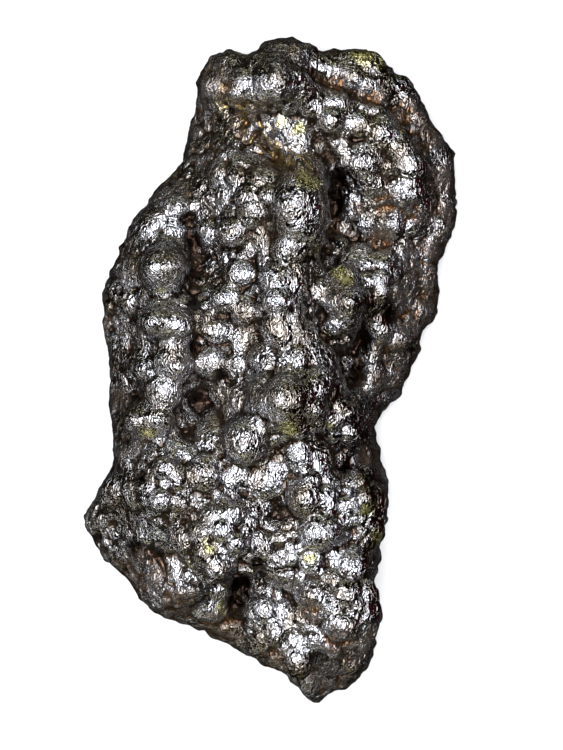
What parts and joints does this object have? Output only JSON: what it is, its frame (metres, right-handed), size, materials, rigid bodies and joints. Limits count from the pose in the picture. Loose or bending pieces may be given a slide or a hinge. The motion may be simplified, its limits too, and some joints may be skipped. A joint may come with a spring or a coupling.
{
  "type": "botryoidal hematite",
  "caption": "Palm-sized piece of botryoidal hematite, an iron ore with a domed, kidney-like metallic face, cut flat behind so that it lies steady as a display mineral.",
  "frame": {"origin": "Middle of the object's bounding box, in the plane of the flat cut that it rests on", "axes": "+X to the right of the domed face, +Y along the stone's length towards its broad crown, +Z out of the domed face, up from the cut"},
  "size_m": [0.0766, 0.134, 0.0349],
  "materials": {
    "hematite": "submetallic dark grey-brown mineral, glossy and finely wrinkled on the domes, dull brown in the valleys and on the walls"
  },
  "bodies": {
    "root": {"hematite": "hematite"}
  },
  "joints": []
}
